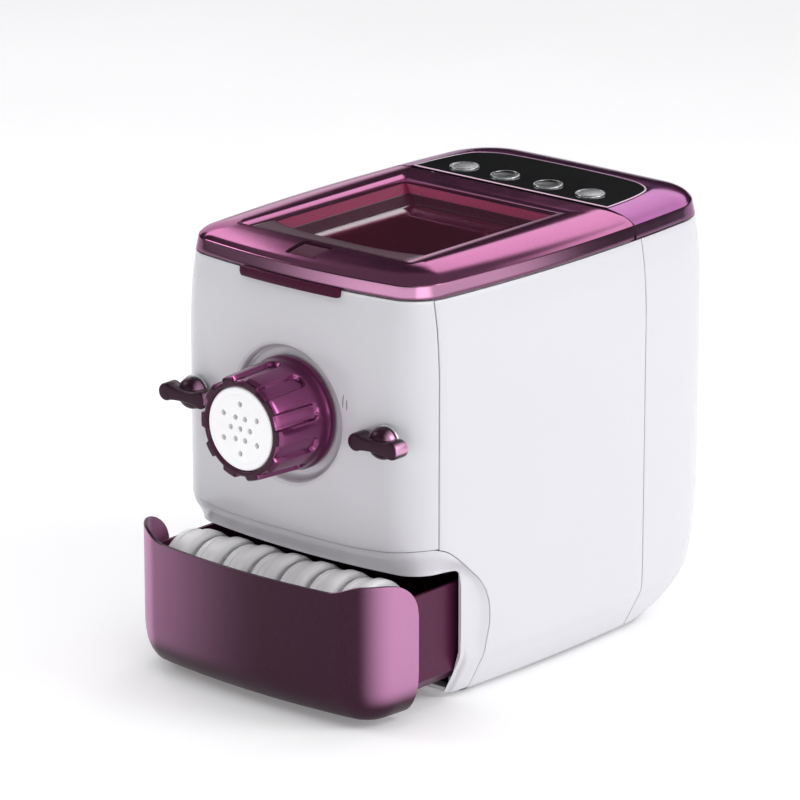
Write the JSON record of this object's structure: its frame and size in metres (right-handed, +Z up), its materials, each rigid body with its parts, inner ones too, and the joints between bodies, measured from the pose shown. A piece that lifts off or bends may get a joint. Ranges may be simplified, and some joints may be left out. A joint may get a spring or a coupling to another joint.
{
  "type": "electric pasta maker",
  "caption": "Countertop pasta maker with a hinged lid over a mixing bowl, a screwed extrusion nut and die, wing knobs, push buttons, a geared drive and a sliding drawer of spare dies.",
  "frame": {"origin": "on the surface it stands on, under the centre of the whole object with its drawer open as pictured", "axes": "+Z up, the extrusion nut and drawer face -Y, the machine's right side as seen from the front is +X"},
  "size_m": [0.2428, 0.3936, 0.3062],
  "materials": {
    "housing_white": "glossy cool white moulded plastic",
    "metallic_purple": "metallic plum lacquer, glossy",
    "dark_plum": "dark glossy plastic",
    "smoked_window": "see-through tinted plastic",
    "panel_black": "black gloss",
    "button_chrome": "satin bright metal",
    "white_plastic": "smooth white moulded plastic",
    "rubber_grey": "matt",
    "steel": "satin",
    "nylon": "natural off-white",
    "circuit_board": "green board"
  },
  "bodies": {
    "chassis": {"base_plate": "housing_white", "foot_front_left": "rubber_grey", "foot_front_right": "rubber_grey", "foot_rear_left": "rubber_grey", "foot_rear_right": "rubber_grey", "base_screw_1": "steel", "base_screw_2": "steel", "base_screw_3": "steel", "base_screw_4": "steel", "left_side_panel": "housing_white", "right_side_panel": "housing_white", "rear_cover": "housing_white", "front_fascia": "housing_white", "drawer_surround": "housing_white", "top_frame": "housing_white", "front_frame": "steel", "left_stud": "steel", "right_stud": "steel", "bulkhead": "steel", "mixing_bowl": "white_plastic", "extruder_barrel": "white_plastic", "deck_housing": "metallic_purple", "control_panel": "panel_black", "control_board": "circuit_board", "gearbox_case": "steel", "gearbox_cover": "steel", "motor_body": "steel", "power_board": "circuit_board", "power_inlet": "panel_black", "left_drawer_runner": "nylon", "right_drawer_runner": "nylon"},
    "lid": {"lid_frame": "metallic_purple", "lid_window": "smoked_window", "lid_magnet_cap": "dark_plum", "lid_grip": "dark_plum"},
    "drawer": {"drawer_front": "metallic_purple", "drawer_tray": "dark_plum", "die_rack": "nylon", "spare_die_1": "white_plastic", "spare_die_2": "white_plastic", "spare_die_3": "white_plastic", "spare_die_4": "white_plastic", "spare_die_5": "white_plastic", "spare_die_6": "white_plastic", "spare_die_7": "white_plastic"},
    "die_seat": {"installed_die": "white_plastic"},
    "nut": {"locking_nut": "metallic_purple"},
    "left_washer": {"left_knob_washer": "steel"},
    "left_knob": {"left_wing_knob": "metallic_purple"},
    "right_washer": {"right_knob_washer": "steel"},
    "right_knob": {"right_wing_knob": "metallic_purple"},
    "mixer": {"mixing_shaft": "nylon", "auger_screw": "nylon", "output_gear": "nylon"},
    "intermediate": {"intermediate_gear": "nylon"},
    "motor": {"motor_rotor": "steel"},
    "button_power": {"button_1": "button_chrome"},
    "button_mode": {"button_2": "button_chrome"},
    "button_minus": {"button_3": "button_chrome"},
    "button_start": {"button_4": "button_chrome"}
  },
  "joints": [
    {"name": "lid_hinge", "type": "hinge", "parent": "chassis", "child": "lid", "pos_m": [0, 0.0798, 0.3], "axis": [-1, 0, 0], "range_deg": [0, 88]},
    {"name": "drawer_slide", "type": "slide", "parent": "chassis", "child": "drawer", "axis": [0, -1, 0], "range_m": [-0.05, 0.06]},
    {"name": "nut_travel", "type": "slide", "parent": "chassis", "child": "die_seat", "axis": [0, -1, 0], "range_m": [0, 0.0047]},
    {"name": "nut_turn", "type": "hinge", "parent": "die_seat", "child": "nut", "pos_m": [0, -0.1662, 0.194], "axis": [0, -1, 0], "range_deg": [0, 420]},
    {"name": "mixer_spin", "type": "hinge", "parent": "chassis", "child": "mixer", "pos_m": [0, -0.0162, 0.194], "axis": [0, -1, 0], "continuous": true},
    {"name": "intermediate_spin", "type": "hinge", "parent": "chassis", "child": "intermediate", "pos_m": [0, 0.0998, 0.13895], "axis": [0, -1, 0], "continuous": true},
    {"name": "motor_spin", "type": "hinge", "parent": "chassis", "child": "motor", "pos_m": [0, 0.1338, 0.0929], "axis": [0, -1, 0], "continuous": true},
    {"name": "left_washer_travel", "type": "slide", "parent": "chassis", "child": "left_washer", "axis": [0, -1, 0], "range_m": [0, 0.0038]},
    {"name": "left_knob_turn", "type": "hinge", "parent": "left_washer", "child": "left_knob", "pos_m": [-0.086, -0.1512, 0.191], "axis": [0, -1, 0], "range_deg": [0, 1080]},
    {"name": "right_washer_travel", "type": "slide", "parent": "chassis", "child": "right_washer", "axis": [0, -1, 0], "range_m": [0, 0.0038]},
    {"name": "right_knob_turn", "type": "hinge", "parent": "right_washer", "child": "right_knob", "pos_m": [0.086, -0.1512, 0.191], "axis": [0, -1, 0], "range_deg": [0, 1080]},
    {"name": "power_press", "type": "slide", "parent": "chassis", "child": "button_power", "axis": [0, 0, -1], "range_m": [0, 0.001], "stiffness_N_per_m": 500, "springref_m": -0.0006},
    {"name": "mode_press", "type": "slide", "parent": "chassis", "child": "button_mode", "axis": [0, 0, -1], "range_m": [0, 0.001], "stiffness_N_per_m": 500, "springref_m": -0.0006},
    {"name": "minus_press", "type": "slide", "parent": "chassis", "child": "button_minus", "axis": [0, 0, -1], "range_m": [0, 0.001], "stiffness_N_per_m": 500, "springref_m": -0.0006},
    {"name": "start_press", "type": "slide", "parent": "chassis", "child": "button_start", "axis": [0, 0, -1], "range_m": [0, 0.001], "stiffness_N_per_m": 500, "springref_m": -0.0006}
  ],
  "couplings": [
    {"joint": "nut_travel", "follows": "nut_turn", "m_per_rad": 0.00063662},
    {"joint": "left_washer_travel", "follows": "left_knob_turn", "m_per_rad": 0.00019894},
    {"joint": "right_washer_travel", "follows": "right_knob_turn", "m_per_rad": 0.00019894},
    {"joint": "intermediate_spin", "follows": "mixer_spin", "ratio": -3.4},
    {"joint": "motor_spin", "follows": "mixer_spin", "ratio": 12.24}
  ]
}
